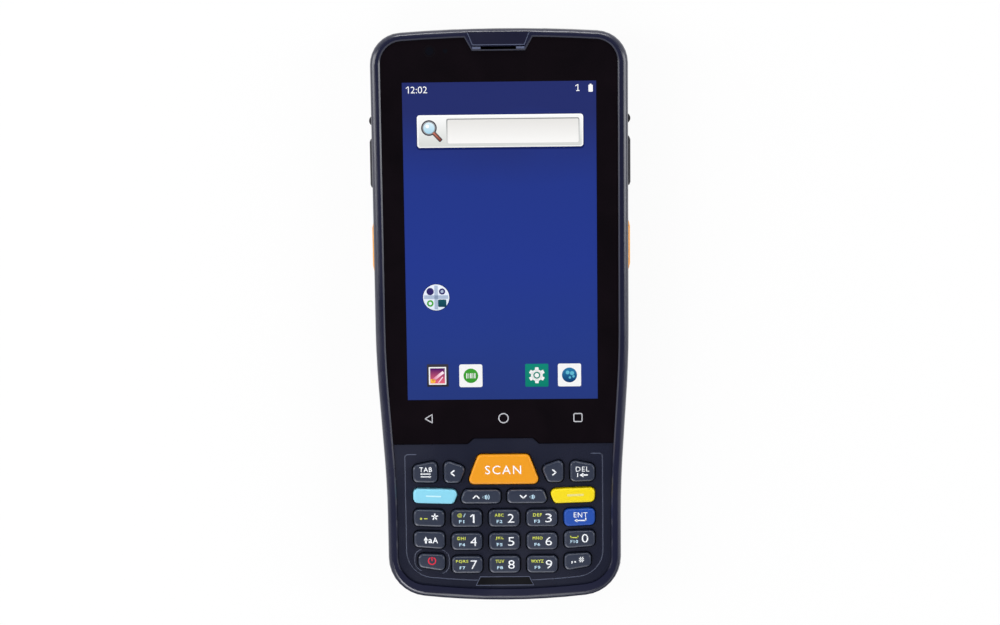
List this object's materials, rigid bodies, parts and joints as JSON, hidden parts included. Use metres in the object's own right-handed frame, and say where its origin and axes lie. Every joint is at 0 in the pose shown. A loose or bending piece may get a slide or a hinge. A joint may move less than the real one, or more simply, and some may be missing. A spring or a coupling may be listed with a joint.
{
  "type": "portable barcode data terminal",
  "caption": "Slim handheld barcode data terminal with touch display, keypad, side scan triggers, end scan window, hinged port covers and battery door.",
  "frame": {"origin": "middle of the flat back, on the surface it lies on", "axes": "+Y towards the top end with the scan window, +Z out of the display, +X to the right of the display"},
  "size_m": [0.0704, 0.1572, 0.0198],
  "materials": {
    "housing": "fine moulded texture, dark navy",
    "deck": "fine moulded texture, darker navy",
    "cover_glass": "polished, black border printed behind it",
    "black_plate": "plain black, bare",
    "display": "display panel",
    "rubber": "matt elastomer",
    "silicone": "translucent grey silicone",
    "film": "film with metal domes",
    "steel": "bright steel",
    "gold": "gold plated",
    "circuit_board": "green solder mask",
    "battery_wrap": "wrapped pack",
    "black_moulding": "black moulding",
    "red_window": "dark red filter window",
    "trigger_orange": "orange moulding, silk smooth",
    "key_cyan_plastic": "cyan moulding",
    "key_yellow_plastic": "yellow moulding",
    "key_blue_plastic": "blue moulding",
    "key_slate": "slate moulding, silk smooth"
  },
  "bodies": {
    "terminal": {"front_housing": "housing", "rear_housing": "housing", "top_plate": "housing", "keypad_bezel": "deck", "touch_glass": "cover_glass", "lower_plate": "black_plate", "display_module": "display", "glass_gasket": "rubber", "housing_seal": "rubber", "earpiece": "rubber", "keypad_mat": "silicone", "dome_sheet": "film", "chassis": "steel", "shield_cans": "steel", "usb_c_receptacle": "steel", "trigger_switches": "steel", "cover_hinge_pins": "steel", "door_hinge_pin": "steel", "housing_screws": "steel", "vibration_motor": "steel", "battery_contacts": "gold", "charging_contacts": "gold", "main_board": "circuit_board", "keypad_board": "circuit_board", "battery_pack": "battery_wrap", "scan_engine": "black_moulding", "loudspeaker": "black_moulding", "headset_jack": "black_moulding", "scan_window": "red_window"},
    "left_port_cover": {"left_port_cover": "rubber"},
    "right_port_cover": {"right_port_cover": "rubber"},
    "battery_door": {"battery_door": "housing"},
    "door_latch": {"door_latch": "rubber"},
    "left_trigger": {"left_trigger": "trigger_orange"},
    "right_trigger": {"right_trigger": "trigger_orange"},
    "key_scan": {"key_scan": "trigger_orange"},
    "key_tab": {"key_tab": "key_slate"},
    "key_delete": {"key_delete": "key_slate"},
    "key_left": {"key_left": "key_slate"},
    "key_right": {"key_right": "key_slate"},
    "key_cyan": {"key_cyan": "key_cyan_plastic"},
    "key_yellow": {"key_yellow": "key_yellow_plastic"},
    "key_up": {"key_up": "key_slate"},
    "key_down": {"key_down": "key_slate"},
    "key_star": {"key_star": "key_slate"},
    "key_enter": {"key_enter": "key_blue_plastic"},
    "key_shift": {"key_shift": "key_slate"},
    "key_0": {"key_0": "key_slate"},
    "key_power": {"key_power": "key_slate"},
    "key_hash": {"key_hash": "key_slate"},
    "key_1": {"key_1": "key_slate"},
    "key_2": {"key_2": "key_slate"},
    "key_3": {"key_3": "key_slate"},
    "key_4": {"key_4": "key_slate"},
    "key_5": {"key_5": "key_slate"},
    "key_6": {"key_6": "key_slate"},
    "key_7": {"key_7": "key_slate"},
    "key_8": {"key_8": "key_slate"},
    "key_9": {"key_9": "key_slate"}
  },
  "joints": [
    {"name": "battery_door_hinge", "type": "hinge", "parent": "terminal", "child": "battery_door", "pos_m": [0, 0.0174, 0.0013], "axis": [1, 0, 0], "range_deg": [0, 90]},
    {"name": "cover_left_hinge", "type": "hinge", "parent": "terminal", "child": "left_port_cover", "pos_m": [-0.03367, 0.0543, 0.0129], "axis": [0, 0, -1], "range_deg": [0, 100]},
    {"name": "cover_right_hinge", "type": "hinge", "parent": "terminal", "child": "right_port_cover", "pos_m": [0.03367, 0.0543, 0.0129], "axis": [0, 0, 1], "range_deg": [0, 100]},
    {"name": "door_latch_slide", "type": "slide", "parent": "battery_door", "child": "door_latch", "axis": [0, 1, 0], "range_m": [0, 0.002]},
    {"name": "trigger_left_press", "type": "slide", "parent": "terminal", "child": "left_trigger", "axis": [1, 0, 0], "range_m": [0, 0.0005], "stiffness_N_per_m": 1500},
    {"name": "trigger_right_press", "type": "slide", "parent": "terminal", "child": "right_trigger", "axis": [-1, 0, 0], "range_m": [0, 0.0005], "stiffness_N_per_m": 1500},
    {"name": "key_scan_press", "type": "slide", "parent": "terminal", "child": "key_scan", "axis": [0, 0, -1], "range_m": [0, 0.0006], "stiffness_N_per_m": 900},
    {"name": "key_tab_press", "type": "slide", "parent": "terminal", "child": "key_tab", "axis": [0, 0, -1], "range_m": [0, 0.0006], "stiffness_N_per_m": 900},
    {"name": "key_delete_press", "type": "slide", "parent": "terminal", "child": "key_delete", "axis": [0, 0, -1], "range_m": [0, 0.0006], "stiffness_N_per_m": 900},
    {"name": "key_left_press", "type": "slide", "parent": "terminal", "child": "key_left", "axis": [0, 0, -1], "range_m": [0, 0.0006], "stiffness_N_per_m": 900},
    {"name": "key_right_press", "type": "slide", "parent": "terminal", "child": "key_right", "axis": [0, 0, -1], "range_m": [0, 0.0006], "stiffness_N_per_m": 900},
    {"name": "key_cyan_press", "type": "slide", "parent": "terminal", "child": "key_cyan", "axis": [0, 0, -1], "range_m": [0, 0.0006], "stiffness_N_per_m": 900},
    {"name": "key_yellow_press", "type": "slide", "parent": "terminal", "child": "key_yellow", "axis": [0, 0, -1], "range_m": [0, 0.0006], "stiffness_N_per_m": 900},
    {"name": "key_up_press", "type": "slide", "parent": "terminal", "child": "key_up", "axis": [0, 0, -1], "range_m": [0, 0.0006], "stiffness_N_per_m": 900},
    {"name": "key_down_press", "type": "slide", "parent": "terminal", "child": "key_down", "axis": [0, 0, -1], "range_m": [0, 0.0006], "stiffness_N_per_m": 900},
    {"name": "key_star_press", "type": "slide", "parent": "terminal", "child": "key_star", "axis": [0, 0, -1], "range_m": [0, 0.0006], "stiffness_N_per_m": 900},
    {"name": "key_enter_press", "type": "slide", "parent": "terminal", "child": "key_enter", "axis": [0, 0, -1], "range_m": [0, 0.0006], "stiffness_N_per_m": 900},
    {"name": "key_shift_press", "type": "slide", "parent": "terminal", "child": "key_shift", "axis": [0, 0, -1], "range_m": [0, 0.0006], "stiffness_N_per_m": 900},
    {"name": "key_0_press", "type": "slide", "parent": "terminal", "child": "key_0", "axis": [0, 0, -1], "range_m": [0, 0.0006], "stiffness_N_per_m": 900},
    {"name": "key_power_press", "type": "slide", "parent": "terminal", "child": "key_power", "axis": [0, 0, -1], "range_m": [0, 0.0006], "stiffness_N_per_m": 900},
    {"name": "key_hash_press", "type": "slide", "parent": "terminal", "child": "key_hash", "axis": [0, 0, -1], "range_m": [0, 0.0006], "stiffness_N_per_m": 900},
    {"name": "key_1_press", "type": "slide", "parent": "terminal", "child": "key_1", "axis": [0, 0, -1], "range_m": [0, 0.0006], "stiffness_N_per_m": 900},
    {"name": "key_2_press", "type": "slide", "parent": "terminal", "child": "key_2", "axis": [0, 0, -1], "range_m": [0, 0.0006], "stiffness_N_per_m": 900},
    {"name": "key_3_press", "type": "slide", "parent": "terminal", "child": "key_3", "axis": [0, 0, -1], "range_m": [0, 0.0006], "stiffness_N_per_m": 900},
    {"name": "key_4_press", "type": "slide", "parent": "terminal", "child": "key_4", "axis": [0, 0, -1], "range_m": [0, 0.0006], "stiffness_N_per_m": 900},
    {"name": "key_5_press", "type": "slide", "parent": "terminal", "child": "key_5", "axis": [0, 0, -1], "range_m": [0, 0.0006], "stiffness_N_per_m": 900},
    {"name": "key_6_press", "type": "slide", "parent": "terminal", "child": "key_6", "axis": [0, 0, -1], "range_m": [0, 0.0006], "stiffness_N_per_m": 900},
    {"name": "key_7_press", "type": "slide", "parent": "terminal", "child": "key_7", "axis": [0, 0, -1], "range_m": [0, 0.0006], "stiffness_N_per_m": 900},
    {"name": "key_8_press", "type": "slide", "parent": "terminal", "child": "key_8", "axis": [0, 0, -1], "range_m": [0, 0.0006], "stiffness_N_per_m": 900},
    {"name": "key_9_press", "type": "slide", "parent": "terminal", "child": "key_9", "axis": [0, 0, -1], "range_m": [0, 0.0006], "stiffness_N_per_m": 900}
  ]
}
